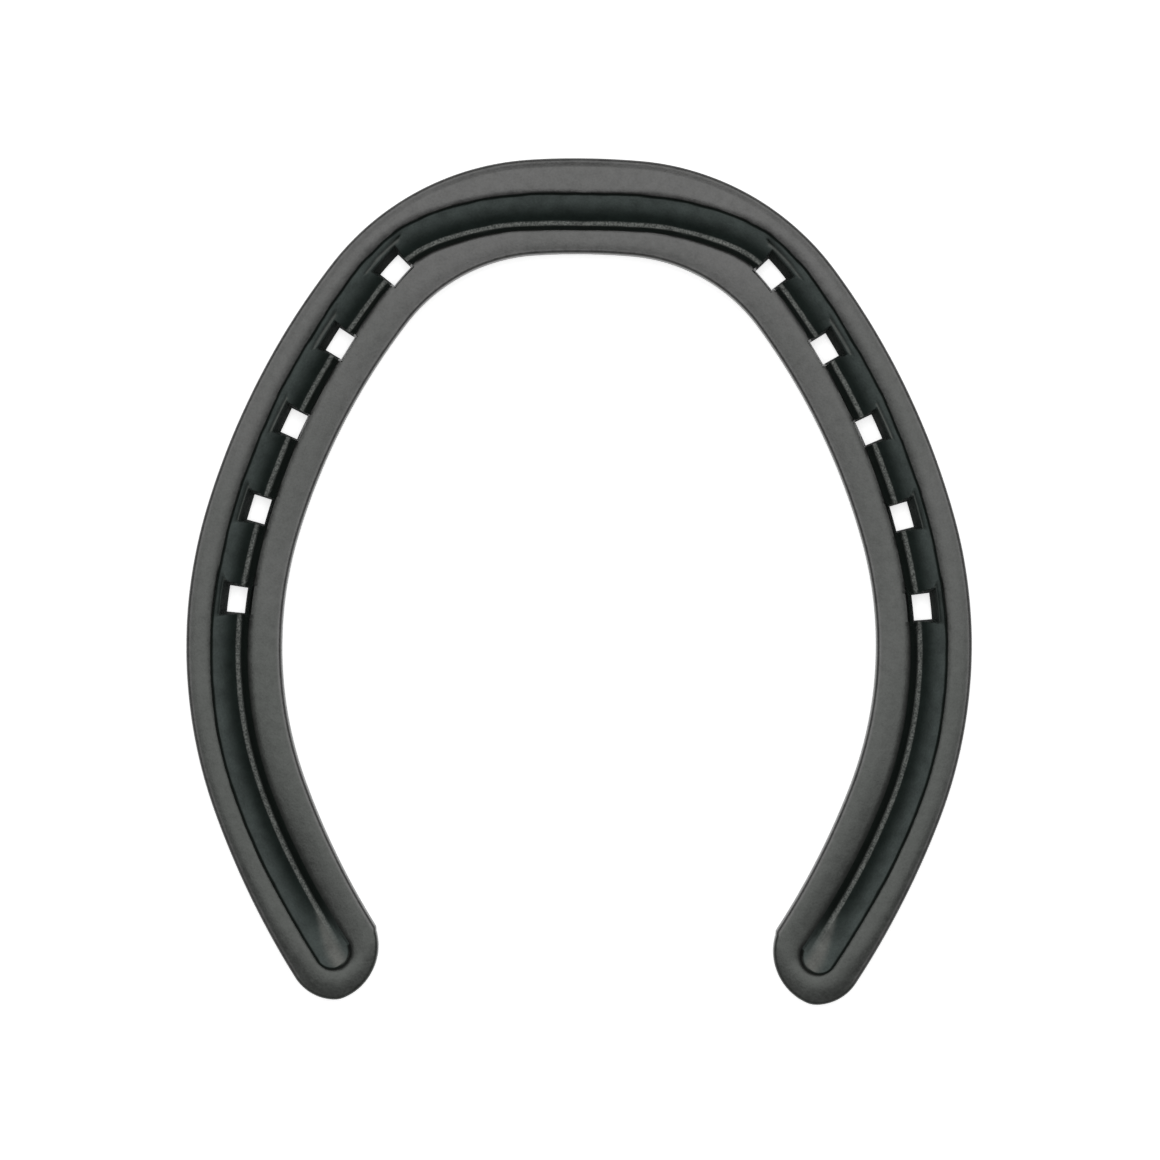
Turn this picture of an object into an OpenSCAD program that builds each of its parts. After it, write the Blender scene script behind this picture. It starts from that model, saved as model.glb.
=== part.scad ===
// Creased front horseshoe, one forged steel bar, lying ground side up.
// Millimetres, +Z up, toe toward +Y, hoof side on the plane Z = 0.

/* [Bar] */
// Width of the bar between its inner and outer edge
bar_w = 15.8; // [15:0.1:17]
// Thickness from the hoof side to the top of the rims
bar_t = 8; // [7.5:0.1:9]
// Rounding along the four long edges of the bar
edge_r = 0.8; // [0.5:0.1:1]
// How far the rims fall away between their highest line and the edge rounding
crown = 0.3; // [0.2:0.05:0.5]

/* [Outline] */
// Radius of the bar centreline at the middle of the toe
toe_r = 114.925; // [105:0.005:125]
// Radius of the centreline at the corner of the toe
corner_r = 36.8; // [35:0.1:38]
// Radius of the centreline along the front of the branch
front_r = 117.2; // [110:0.1:124]
// Radius of the centreline at the widest place
quarter_r = 72.8; // [70:0.1:76]
// Radius of the centreline toward the heel
heel_r = 136.25; // [125:1.25:150]
// Radius of the trim over the end of each heel
trim_r = 8.95; // [8.8:0.05:9.4]

/* [Crease] */
// Depth of the crease below the top of the rims
crease_d = 4.8; // [4:0.1:5.2]
// Distance from the crease line out to the lip
lip_t = 3.9; // [3.7:0.05:4.1]
// Radius of the crease line at the toe less its radius beside the toe
toe_less_side = 107.8125; // [106.25:0.3125:109.375]
// Radius of the crease line beside the toe less its radius at the corner
side_less_corner = 22.2; // [21:0.1:23]
// Length at each heel over which the floor climbs to the shallow end
run_out = 10.4; // [9:0.1:13]

/* [Nail holes] */
// Distance along the centreline from the toe to the first hole
hole_first = 34.1; // [33.5:0.1:34.5]
// Distance along the centreline between holes
hole_pitch = 15.4; // [15:0.1:15.8]
// Size of the hole along the branch
hole_l = 4.3; // [4:0.1:4.6]
// Size of the hole across the branch
hole_w = 3; // [2.8:0.1:3.2]
// Height above the hoof side where the tapered nail seat starts
seat_z = 1.5; // [1:0.1:2]

/* [Hidden] */
$fn = 240;
hw = bar_w / 2;
floor_z = bar_t - crease_d;
mouth_z = bar_t - 0.95;
over = 1;

// Directions, from each arc centre, of the planes where the arcs meet. They
// come from whole-number right triangles (7-24-25, 3-4-5 and their sums), so
// every centre is a short exact decimal and the arcs meet without a gap.
dirs = [[0, 1], [0.07584, 0.99712], [0.8, 0.6], [0.96, 0.28],
        [0.936, -0.352], [0.8432, -0.5376]];
crease_dirs = [[0.07584, 0.99712], [0.352, 0.936], [0.6, 0.8]];
radii = [toe_r, corner_r, front_r, quarter_r, heel_r];
last = len(radii) - 1;

// arc centres before and after the outline is moved along Y to its middle
function raw(i) = i == 0 ? [0, -toe_r] : raw(i - 1) + (radii[i - 1] - radii[i]) * dirs[i];
raw_end = raw(last) + heel_r * dirs[last + 1];
shift = [0, -raw_end[1] / 2];
function ctr(i) = raw(i) + shift;
end_pos = raw_end + shift;

// distance along the centreline, and the place and direction at a distance
function head(i) = atan2(dirs[i][0], dirs[i][1]);
function run(i) = i == 0 ? 0
    : run(i - 1) + radii[i - 1] * (head(i) - head(i - 1)) * PI / 180;
function arc_at(s, i = 0) = i == last || s < run(i + 1) ? i : arc_at(s, i + 1);
function head_at(s) = let (i = arc_at(s)) head(i) + (s - run(i)) / radii[i] * 180 / PI;
function place(s, t) = let (i = arc_at(s), a = head_at(s))
    ctr(i) + (radii[i] + t) * [sin(a), cos(a)];

// the crease line has three flatter arcs of its own at the toe, then follows
// the centreline; the side radius is the one that closes the line at X = 0
join = raw(1) + corner_r * crease_dirs[2];
side_r = (join[0] + side_less_corner * (crease_dirs[2][0] - crease_dirs[1][0])
          - toe_less_side * crease_dirs[0][0]) / crease_dirs[2][0];
line_r = [side_r + toe_less_side, side_r, side_r - side_less_corner];
line_c2 = ctr(1) + (corner_r - line_r[2]) * crease_dirs[2];
line_c1 = line_c2 + (line_r[2] - line_r[1]) * crease_dirs[1];
line_c0 = line_c1 + (line_r[1] - line_r[0]) * crease_dirs[0];

// [offset from the centreline, height] of the solid bar: a rounded rectangle
// with crowned rims, the same on both sides so the heels can be turned from it
function thou(p) = [round(p[0] * 1000) / 1000, round(p[1] * 1000) / 1000];
half_section = [for (p = concat(
    [[0, 0], [hw - edge_r, 0]],
    [for (a = [-67.5:22.5:0]) [hw - edge_r + edge_r * cos(a), edge_r + edge_r * sin(a)]],
    [for (a = [0:22.5:67.5]) [hw - edge_r + edge_r * cos(a),
                              bar_t - crown - edge_r + edge_r * sin(a)]],
    [for (k = [0:0.25:1]) [hw - edge_r - k * 2.2, bar_t - crown * pow(1 - k, 2)]],
    [[0, bar_t]])) thou(p)];
section = concat(
    [for (p = half_section) if (p[0] > 0) p],
    [for (i = [len(half_section) - 2:-1:1]) [-half_section[i][0], half_section[i][1]]]);

// [offset, height] of the crease: steep lip, slope, narrow floor, steep inner
// wall and a rounded crest to the inner rim
crease = [
    [lip_t + 0.05, bar_t + over], [lip_t, bar_t - 0.1], [lip_t - 0.3, mouth_z],
    [-0.4, floor_z], [-1.1, floor_z], [-1.65, bar_t - 1.1], [-1.95, bar_t - 0.55],
    [-2.4, bar_t - 0.2], [-3.1, bar_t + 0.02], [-3.1, bar_t + over]];
// the shallow round end of the crease, about its own upright axis
mouth_t = 1;
mouth_w = lip_t - 0.3 - mouth_t;
mouth = [[0, mouth_z], [mouth_w, mouth_z], [mouth_w + 0.3, bar_t - 0.1],
         [mouth_w + 0.35, bar_t + over], [0, bar_t + over]];

// A full ring of the profile kept between two joint planes. The corners of
// the keeping block lie on the planes, the same points for both neighbours.
module bend(c, r, d0, d1, profile) {
    mid = d0 + d1;
    j0 = c + r * d0;
    j1 = c + r * d1;
    intersection() {
        translate([c[0], c[1], 0]) rotate_extrude() polygon([for (p = profile) [r + p[0], p[1]]]);
        translate([0, 0, -2 * over]) linear_extrude(bar_t + 5 * over)
            polygon([j0 - 12.5 * d0, j0 + 12.5 * d0, c + (r + 25) * mid / norm(mid),
                     j1 + 12.5 * d1, j1 - 12.5 * d1]);
    }
}

// the part of a turned piece that lies past the last joint plane
module past_end(c) {
    d = dirs[last + 1];
    ahead = [d[1], -d[0]];
    intersection() {
        translate([c[0], c[1], 0]) children();
        translate([0, 0, -2 * over]) linear_extrude(bar_t + 5 * over)
            polygon([end_pos - 12.5 * d, end_pos + 12.5 * d,
                     end_pos + 12.5 * (d + ahead), end_pos + 12.5 * (ahead - d)]);
    }
}

module bar_half() {
    for (i = [1:last]) bend(ctr(i), radii[i], dirs[i], dirs[i + 1], section);
    // rounded heel end turned from half of the section, then trimmed
    d = dirs[last + 1];
    ahead = [d[1], -d[0]];
    trim_c = end_pos - 1.6 * ahead + 0.9 * d;
    intersection() {
        past_end(end_pos) rotate_extrude() polygon(half_section);
        translate([trim_c[0], trim_c[1], -over]) cylinder(r = trim_r, h = bar_t + 2 * over);
    }
}

module crease_half() {
    bend(line_c1, line_r[1], crease_dirs[0], crease_dirs[1], crease);
    bend(line_c2, line_r[2], crease_dirs[1], crease_dirs[2], crease);
    bend(ctr(1), corner_r, crease_dirs[2], dirs[2], crease);
    for (i = [2:last - 1]) bend(ctr(i), radii[i], dirs[i], dirs[i + 1], crease);
    // toward the heel a ramp lifts the floor to the shallow round end
    difference() {
        bend(ctr(last), heel_r, dirs[last], dirs[last + 1], crease);
        translate([end_pos[0], end_pos[1], 0]) rotate([0, 0, -head(last + 1)])
            translate([0, hw, 0]) rotate([90, 0, 0]) linear_extrude(bar_w)
            polygon([[-run_out, floor_z], [0, mouth_z], [over, mouth_z],
                     [over, 0], [-run_out, 0]]);
    }
    past_end(end_pos + mouth_t * dirs[last + 1]) rotate_extrude() polygon(mouth);
}

// straight hole with a tapered nail seat: two crossing prisms
module nail_hole(s, t, turn) {
    p = place(s, t);
    h = bar_t + over - seat_z;
    translate([p[0], p[1], 0]) rotate([0, 0, -turn - head_at(s)]) {
        translate([-hole_l / 2, -hole_w / 2, -over]) cube([hole_l, hole_w, bar_t + 2 * over]);
        intersection() {
            translate([0, hw, seat_z]) rotate([90, 0, 0]) linear_extrude(bar_w)
                polygon([[-hole_l / 2, 0], [hole_l / 2, 0],
                         [hole_l / 2 + 0.2 * h, h], [-hole_l / 2 - 0.2 * h, h]]);
            translate([-hw, 0, seat_z]) rotate([90, 0, 90]) linear_extrude(bar_w)
                polygon([[-hole_w / 2, 0], [hole_w / 2, 0],
                         [hole_w / 2 + 0.27 * h, h], [-hole_w / 2 - 0.06 * h, h]]);
        }
    }
}

module shoe() color([0.2, 0.2, 0.19]) difference() {
    union() {
        bend(ctr(0), toe_r, [-dirs[1][0], dirs[1][1]], dirs[1], section);
        bar_half();
        mirror([1, 0, 0]) bar_half();
    }
    union() {
        bend(line_c0, line_r[0], [-crease_dirs[0][0], crease_dirs[0][1]],
             crease_dirs[0], crease);
        crease_half();
        mirror([1, 0, 0]) crease_half();
    }
    for (m = [0, 1]) mirror([m, 0, 0]) {
        nail_hole(hole_first, -0.5, 5);
        nail_hole(hole_first + hole_pitch, -0.7, 1);
        nail_hole(hole_first + 2 * hole_pitch, -0.5, 0);
        nail_hole(hole_first + 3 * hole_pitch, -0.35, 1);
        nail_hole(hole_first + 4 * hole_pitch, 0.05, 0);
    }
}

shoe();
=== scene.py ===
import math

import bmesh
import bpy
import numpy as np
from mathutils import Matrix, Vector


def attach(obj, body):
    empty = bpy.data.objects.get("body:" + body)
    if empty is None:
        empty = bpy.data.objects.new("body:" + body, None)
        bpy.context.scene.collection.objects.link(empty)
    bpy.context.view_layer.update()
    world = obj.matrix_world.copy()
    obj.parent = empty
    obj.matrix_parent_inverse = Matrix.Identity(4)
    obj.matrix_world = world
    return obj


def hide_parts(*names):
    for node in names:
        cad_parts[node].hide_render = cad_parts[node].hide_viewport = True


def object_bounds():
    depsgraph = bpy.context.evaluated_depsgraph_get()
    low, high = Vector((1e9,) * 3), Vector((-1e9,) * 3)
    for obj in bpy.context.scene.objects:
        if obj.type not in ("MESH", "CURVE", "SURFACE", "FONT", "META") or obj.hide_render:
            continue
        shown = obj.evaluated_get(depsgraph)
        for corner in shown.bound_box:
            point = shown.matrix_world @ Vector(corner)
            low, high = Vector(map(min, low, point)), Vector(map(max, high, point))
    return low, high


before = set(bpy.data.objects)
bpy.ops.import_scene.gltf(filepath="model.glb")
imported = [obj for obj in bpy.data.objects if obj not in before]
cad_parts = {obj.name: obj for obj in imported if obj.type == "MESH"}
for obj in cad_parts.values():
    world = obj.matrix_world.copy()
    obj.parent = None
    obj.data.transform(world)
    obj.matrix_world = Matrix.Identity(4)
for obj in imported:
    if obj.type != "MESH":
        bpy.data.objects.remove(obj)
CAD_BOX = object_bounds()

bl_info = {
    "name": "Creased Horseshoe",
    "version": (1, 0, 0),
    "blender": (4, 5, 0),
    "location": "3D View > Sidebar > Horseshoe",
    "description": "Builds a creased front horseshoe of dark forged steel, and its studio",
    "category": "Object",
}

MM = 0.001
NODE = "shoe"

# Outline of the bar centreline, toe to heel: arc radii in mm, and the
# direction from each arc's centre of the planes where the arcs meet.
ARC_RADII = (114.925, 36.8, 117.2, 72.8, 136.25)
JOINT_DIRECTIONS = (
    (0.0, 1.0), (0.07584, 0.99712), (0.8, 0.6),
    (0.96, 0.28), (0.936, -0.352), (0.8432, -0.5376),
)
PATH_STEP = 0.25
PATH_OVERRUN = 12.0

# The round trim over each heel: its centre ahead of and outside the end of
# the centreline, and its radius, in mm.
TRIM_AHEAD, TRIM_OUT, TRIM_RADIUS = -1.9, 1.3, 9.17

# Where the crease wanders off the centreline: (distance from the toe, offset).
CREASE_LINE = (
    (0.0, -1.86), (8.0, -1.62), (16.0, -1.15), (22.5, -0.5), (28.0, 0.3),
    (42.0, 0.16), (66.0, -0.05), (88.0, -0.26), (106.0, 0.04), (128.0, 0.1),
    (143.0, -0.2), (152.0, -0.45), (158.0, -0.55),
)
# Width of the roll along the crest beside the inner wall: (distance, width).
CREST_ROLL = (
    (0.0, 0.6), (22.0, 0.9), (42.0, 1.3), (72.0, 1.6), (95.0, 1.5),
    (120.0, 1.1), (145.0, 0.8), (158.0, 0.8),
)
# Slope of the rims where each one falls away, in mm per mm: (distance, slope).
CREST_FALL = ((0.0, 0.0), (100.0, 0.02), (120.0, 0.16), (145.0, 0.30), (152.0, 0.28), (158.0, 0.2))
OUTER_FALL = ((0.0, 0.16), (30.0, 0.07), (72.0, 0.05), (95.0, 0.08), (120.0, 0.17),
              (142.0, 0.22), (158.0, 0.04))
INNER_FALL = ((0.0, 0.2), (20.0, 0.16), (42.0, 0.15), (95.0, 0.13), (120.0, 0.06),
              (158.0, 0.06))
INNER_REACH = ((0.0, 2.4), (20.0, 3.0), (42.0, 4.4), (95.0, 4.0), (120.0, 2.5), (158.0, 2.5))
CREST_REACH, OUTER_REACH = 4.8, 2.5
# Flat facet hammered along the outer edge: (distance, slope), and its width,
# which grows into the bevel round the heel: (distance, extra width).
FACET = ((0.0, 0.2), (30.0, 0.16), (60.0, 0.06), (118.0, 0.05), (130.0, 0.05),
         (145.0, 0.11), (158.0, 0.19))
FACET_WIDTH, FACET_ROUNDING = 1.45, 0.15
FACET_WIDENING = ((0.0, 0.0), (120.0, 0.0), (136.0, 0.0), (150.0, 0.5), (158.0, 1.6))
# Bevel hammered round each heel: its slope in mm per mm, its width, and the
# width over which it sets in.
HEEL_BEVEL, BEVEL_WIDTH, BEVEL_ROUNDING = 0.2, 3.05, 0.95
# Width of the roll along the lip over the outer wall: (distance, width).
LIP_ROLL = ((0.0, 0.7), (22.0, 1.0), (40.0, 1.6), (95.0, 1.5), (120.0, 0.7), (158.0, 0.6))
# Depth of the two rolls at the crease, as shares of their widths.
LIP_ROLL_SHARE, CREST_ROLL_SHARE = 0.17, 0.25
# Nail holes of one branch, toe to heel: offset from the centreline, turn in
# degrees, flare of the seat's outer wall in mm per mm of height, and the
# length and width of the shelf along its outer edge.
HOLE_STATIONS = (
    (-0.5, 5.0, 0.38, 7.8, 0.5), (-0.7, 1.0, 0.36, 7.0, 0.45), (-0.5, 0.0, 0.32, 6.4, 0.25),
    (-0.35, 1.0, 0.32, 6.2, 0.25), (0.05, -1.0, 0.28, 5.9, 0.15),
)
# Flare of the seats' end walls and inner wall, and how far below the rims
# the shelves lie, in mm.
SEAT_END_FLARE, SEAT_INNER_FLARE = 0.17, 0.06
SHELF_DEPTH = 2.55

# Shape of the crease in mm, measured across the bar from the crease line.
CENTRE = 1.0
FLOOR_WIDTH = 0.55
LIP_FOOT, LIP_TOP = 3.6, 3.9
WALL_TOP = -2.1
# Inner edge of the crease's narrow floor: (distance from the toe, offset).
FLOOR_EDGE = (
    (0.0, -1.27), (8.0, -1.35), (16.0, -1.25), (24.0, -1.2), (42.0, -1.25),
    (57.0, -1.0), (88.0, -0.85), (120.0, -0.85), (140.0, -0.8), (158.0, -0.8),
)
# The fuller was held by hand, so its two edges waver a little: height in mm,
# radians per mm and phase of each wave. The floor's edge wavers by a share.
WAVER = ((0.06, 0.33, 0.4), (0.045, 0.81, 1.9), (0.03, 1.57, 0.2))
FLOOR_WAVER_SHARE = 0.6
MOUTH_DEPTH = 1.2
RUN_OUT = 10.4
# The crease's round end is a little flatter than a half circle.
END_SQUASH = 0.12
# Half sections fanned round each heel.
HEEL_RAYS = 40

# Marks of the dressing hammer: patches per metre along and across the bar.
MARKS_PER_METRE = (28.0, 330.0, 0.0)
FORGING_SEED = 7
# Faces whose "inside" mask is above this keep their black forge scale.
SCALE_FROM = 0.55
# Edges that turn by more than this stay sharp.
SHARP_ANGLE = math.radians(38)

# The stage, in metres.
FLOOR_HALF, FLOOR_HEIGHT = 3.0, -0.0002
KEY_SIZE, KEY_PLACE, KEY_TILT = (1.2, 1.0), (0.0, 0.2, 1.1), math.radians(-10.0)
SENSOR_WIDTH = 36.0


def smoothstep(low, high, x):
    """0 below low, 1 above high, and a smooth rise between."""
    f = np.clip((x - low) / (high - low), 0.0, 1.0)
    return f * f * (3.0 - 2.0 * f)


def soft_min(a, b, k):
    """The lower of two heights, rounded over where they are within k."""
    h = np.maximum(k - np.abs(a - b), 0.0) / k
    return np.minimum(a, b) - h * h * k / 4.0


def soft_max(a, b, k):
    """The higher of two heights, rounded over where they are within k."""
    return -soft_min(-a, -b, k)


def along(knots, s):
    """A smooth curve through (distance, value) knots, read at s."""
    x = np.array([k[0] for k in knots])
    y = np.array([k[1] for k in knots])
    slope = np.gradient(y, x)
    s = np.clip(s, x[0], x[-1])
    i = np.clip(np.searchsorted(x, s, side="right") - 1, 0, len(x) - 2)
    w = x[i + 1] - x[i]
    f = (s - x[i]) / w
    return (y[i] * (1 + 2 * f) * (1 - f) ** 2 + y[i + 1] * f * f * (3 - 2 * f)
            + w * f * (1 - f) * (slope[i] * (1 - f) - slope[i + 1] * f))


class Outline:
    """The bar's centreline as tangent arcs, with its middle on the Y axis."""

    def __init__(self):
        d = np.array(JOINT_DIRECTIONS)
        self.heads = np.arctan2(d[:, 0], d[:, 1])
        centres = [np.array([0.0, -ARC_RADII[0]])]
        for i in range(1, len(ARC_RADII)):
            centres.append(centres[-1] + (ARC_RADII[i - 1] - ARC_RADII[i]) * d[i])
        end = centres[-1] + ARC_RADII[-1] * d[-1]
        self.centres = [c - (0.0, end[1] / 2) for c in centres]
        self.runs = np.concatenate(([0.0], np.cumsum(np.diff(self.heads) * ARC_RADII)))
        self.length = float(self.runs[-1])

    def point(self, s):
        """Place of the centreline at distance s from the toe, either side."""
        a = abs(s)
        i = min(int(np.searchsorted(self.runs, a, side="right")) - 1, len(ARC_RADII) - 1)
        inside = min(a, self.length)
        head = self.heads[i] + (inside - self.runs[i]) / ARC_RADII[i]
        p = self.centres[i] + ARC_RADII[i] * np.array([math.sin(head), math.cos(head)])
        p = p + (a - inside) * np.array([math.cos(head), -math.sin(head)])
        return (math.copysign(p[0], s) if a else 0.0, p[1])


# ---------------------------------------------------------------- properties


class HorseshoeSizes(bpy.types.PropertyGroup):
    bar_width: bpy.props.FloatProperty(
        name="Bar width", description="Width of the bar between its edges",
        default=15.7 * MM, unit="LENGTH", precision=5)
    thickness: bpy.props.FloatProperty(
        name="Thickness", description="Hoof side to the top of the rims",
        default=CAD_BOX[1][2] - 0.14 * MM, unit="LENGTH", precision=5)
    edge_width: bpy.props.FloatProperty(
        name="Edge rounding", description="Width of the rounding along the upper edges",
        default=0.55 * MM, unit="LENGTH", precision=5)
    edge_drop: bpy.props.FloatProperty(
        name="Edge drop", description="Height of the rounding along the upper edges",
        default=0.65 * MM, unit="LENGTH", precision=5)
    foot_rounding: bpy.props.FloatProperty(
        name="Foot rounding", description="Radius along the edges of the hoof side",
        default=0.6 * MM, unit="LENGTH", precision=5)
    crown: bpy.props.FloatProperty(
        name="Crown", description="Fall of the rims from their highest line to the edges",
        default=0.05 * MM, unit="LENGTH", precision=5)
    crease_depth: bpy.props.FloatProperty(
        name="Crease depth", description="Depth of the crease below the rims",
        default=4.8 * MM, unit="LENGTH", precision=5)
    hole_first: bpy.props.FloatProperty(
        name="First hole", description="Distance along the bar from the toe to the first hole",
        default=34.1 * MM, unit="LENGTH", precision=5)
    hole_pitch: bpy.props.FloatProperty(
        name="Hole pitch", description="Distance along the bar between nail holes",
        default=15.4 * MM, unit="LENGTH", precision=5)
    hole_length: bpy.props.FloatProperty(
        name="Hole length", description="Size of a nail hole along the bar",
        default=4.3 * MM, unit="LENGTH", precision=5)
    hole_width: bpy.props.FloatProperty(
        name="Hole width", description="Size of a nail hole across the bar",
        default=3.0 * MM, unit="LENGTH", precision=5)
    seat_height: bpy.props.FloatProperty(
        name="Seat height", description="Height above the hoof side where a nail seat starts",
        default=1.5 * MM, unit="LENGTH", precision=5)
    unevenness: bpy.props.FloatProperty(
        name="Unevenness", description="How far the forged faces wander from true",
        default=0.15 * MM, unit="LENGTH", precision=6)


class HorseshoeFinish(bpy.types.PropertyGroup):
    steel_color: bpy.props.FloatVectorProperty(
        name="Steel at the toe", description="Dark satin steel of the rims and sides",
        subtype="COLOR", size=3, min=0, max=1, default=(0.070, 0.0700, 0.0690))
    # Steel at the heels: painted shade, darker away from the light at the toe, with a slightly
    # cooler tone.
    heel_shaded_color: bpy.props.FloatVectorProperty(
        name="Shaded steel at the heels", description="Steel painted darker towards the heels as shade, and cooler in tone",
        subtype="COLOR", size=3, min=0, max=1, default=(0.0545, 0.0575, 0.0545))
    scale_high: bpy.props.FloatVectorProperty(
        name="Scale at the lip", description="Forge scale high on the slope of the crease",
        subtype="COLOR", size=3, min=0, max=1, default=(0.060, 0.0725, 0.0690))
    # Scale low in the crease: painted shade, the scale darkens deeper down where less light
    # reaches the hollow.
    scale_low_shaded: bpy.props.FloatVectorProperty(
        name="Shaded scale at the floor", description="Forge scale low in the crease, painted darker as shade",
        subtype="COLOR", size=3, min=0, max=1, default=(0.011, 0.0165, 0.0145))
    # Floor of the crease: speckled bare steel grains, painted light partly as a highlight where
    # the level floor faces up to the light.
    floor_grain_and_highlight: bpy.props.FloatVectorProperty(
        name="Floor grains and highlight", description="Bare steel grains along the crease's floor, painted light as highlight",
        subtype="COLOR", size=3, min=0, max=1, default=(0.170, 0.178, 0.168))
    pale_scale_color: bpy.props.FloatVectorProperty(
        name="Pale scale", description="Paler scale where the crease runs out and on the "
        "shelves of the nail seats", subtype="COLOR", size=3, min=0, max=1,
        default=(0.135, 0.137, 0.128))
    # Near-black painted shade on the steep walls: under the lip, along the inner wall, round the
    # crease's end and in the nail seats.
    wall_shade_color: bpy.props.FloatVectorProperty(
        name="Shaded tool walls", description="Near-black painted shade on the walls where the forging tools cut",
        subtype="COLOR", size=3, min=0, max=1, default=(0.0075, 0.0115, 0.0095))
    roughness: bpy.props.FloatProperty(
        name="Roughness", description="Roughness of the satin steel",
        default=0.42, min=0, max=1, subtype="FACTOR")


class HorseshoeStage(bpy.types.PropertyGroup):
    floor_color: bpy.props.FloatVectorProperty(
        name="Floor", description="Colour of the studio floor", subtype="COLOR",
        size=3, min=0, max=1, default=(0.93, 0.93, 0.93))
    floor_glow: bpy.props.FloatProperty(
        name="Floor glow", description="Light that the floor gives off itself, as a light table",
        default=0.6)
    world_strength: bpy.props.FloatProperty(
        name="Room light", description="Strength of the even light all round", default=0.35)
    key_power: bpy.props.FloatProperty(
        name="Key light", description="Power of the large soft light overhead", default=9.5)
    camera_turn: bpy.props.FloatProperty(
        name="Camera turn", description="Turn of the camera about its line of sight",
        default=math.radians(0.63), subtype="ANGLE")
    lens: bpy.props.FloatProperty(
        name="Lens", description="Focal length in millimetres", default=340.0)
    frame_width: bpy.props.FloatProperty(
        name="Frame width", description="Width that the camera takes in at the rims",
        default=191.5 * MM, unit="LENGTH", precision=5)


# ----------------------------------------------------------------- the shape


class Bar:
    """The straightened bar in mm: s along it from the toe, t across it
    (outwards is positive) and z up. Only the half with s >= 0 is worked out."""

    def __init__(self, sizes, length):
        self.length = length
        self.half = sizes.bar_width / MM / 2
        self.top = sizes.thickness / MM
        self.edge_w = sizes.edge_width / MM
        self.edge_d = sizes.edge_drop / MM
        self.foot = sizes.foot_rounding / MM
        self.crown = sizes.crown / MM
        self.floor = self.top - sizes.crease_depth / MM
        self.mouth = self.top - MOUTH_DEPTH
        self.shelf = self.top - SHELF_DEPTH
        self.hole_l = sizes.hole_length / MM
        self.hole_w = sizes.hole_width / MM
        self.seat = sizes.seat_height / MM
        first, pitch = sizes.hole_first / MM, sizes.hole_pitch / MM
        self.holes = [(first + i * pitch, t, math.radians(turn))
                      for i, (t, turn, *_) in enumerate(HOLE_STATIONS)]
        self.seats = [station[2:] for station in HOLE_STATIONS]

    def line(self, s):
        return along(CREASE_LINE, s)

    def floor_edge(self, s):
        return along(FLOOR_EDGE, s)

    def floor_start(self, s):
        """Where the crease's floor starts at s, with the edge's waver."""
        return self.floor_edge(s) + self.waver(s, -1) * FLOOR_WAVER_SHARE

    def waver(self, s, side):
        """How far an edge of the crease strays at s, none where it ends."""
        stray = sum(h * np.sin(rate * s * (1.0 if side > 0 else 0.87) + phase * side)
                    for h, rate, phase in WAVER)
        steadier = 1.0 - 0.6 * smoothstep(30.0, 120.0, s)
        return stray * steadier * smoothstep(self.length, self.length - 12.0, s)

    def rim_height(self, s, t, u):
        """Height of the rims: crowned, rolled over along the crease and
        falling away towards the edges of the bar."""
        outer = u > CENTRE
        from_lip = np.maximum(np.where(outer, u - LIP_TOP, WALL_TOP - u), -0.4)
        to_edge = np.maximum(self.half - np.abs(t), 0.0)
        v = from_lip / (from_lip + to_edge)
        crowned = self.crown * ((v - 0.45) / 0.55) ** 2
        roll = np.where(outer, along(LIP_ROLL, s), along(CREST_ROLL, s))
        share = np.where(outer, LIP_ROLL_SHARE, CREST_ROLL_SHARE)
        rolled = share * roll * np.clip(1 - from_lip / roll, 0, 2) ** 2
        crest = np.where(outer, 0.0, along(CREST_FALL, s)) * CREST_REACH / 2
        crest = crest * np.clip(1 - from_lip / CREST_REACH, 0, 2) ** 2
        reach = np.where(outer, OUTER_REACH, along(INNER_REACH, s))
        edge = np.where(outer, along(OUTER_FALL, s), along(INNER_FALL, s)) * reach / 2
        edge = edge * np.clip(1 - to_edge / reach, 0, 1) ** 2
        width = FACET_WIDTH + along(FACET_WIDENING, s)
        rounding = (FACET_ROUNDING
                    + (BEVEL_ROUNDING - FACET_ROUNDING) * smoothstep(132.0, 156.0, s))
        facet = soft_max(width - to_edge, np.zeros_like(u), rounding) * along(FACET, s)
        return self.top - crowned - rolled - crest - edge - np.where(outer, facet, 0.0)

    def top_height(self, s, t):
        """Height of the ground side at (s, t), nail seats left out."""
        u = t - self.line(s)
        floor_in = self.floor_start(s)
        floor_out = floor_in + FLOOR_WIDTH
        rise = self.mouth - self.floor
        slope = self.floor + (u - floor_out) * (rise + 0.1) / (LIP_FOOT - floor_out)
        wall = self.floor + (floor_in - u) * rise / (floor_in - WALL_TOP - 0.1)
        lip = self.mouth + (u - LIP_FOOT - self.waver(s, 1)) * 3.8
        low = soft_max(np.full_like(u, self.floor), soft_max(slope, wall, 0.1), 0.25)
        climb = (s - self.length + RUN_OUT) / RUN_OUT
        ramp = self.floor + climb * (self.mouth - self.floor)
        low = soft_max(low, ramp, 0.3 + 1.9 * np.clip(1.0 - climb, 0.0, 1.0))
        low = np.maximum(low, lip)
        rim = self.rim_height(s, t, u)
        return soft_min(low, rim, np.where(u > CENTRE, 0.12, 0.3))

    def seat_height(self, s, t):
        """Height of the nail seats' walls and shelves at (s, t)."""
        best = np.full_like(s, 99.0)
        for (s0, t0, turn), (flare, shelf_l, shelf_w) in zip(self.holes, self.seats):
            c, n = math.cos(turn), math.sin(turn)
            a = (s - s0) * c - (t - t0) * n
            b = (s - s0) * n + (t - t0) * c
            end_flare = SEAT_END_FLARE * (0.3 + 0.7 * smoothstep(-1.9, 0.4, b))
            ends = (np.abs(a) - self.hole_l / 2) / end_flare
            outer = (b - self.hole_w / 2) / flare
            inner = (-b - self.hole_w / 2) / SEAT_INNER_FLARE
            wall = self.seat + np.maximum.reduce([ends, outer, inner, np.zeros_like(a)])
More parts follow.
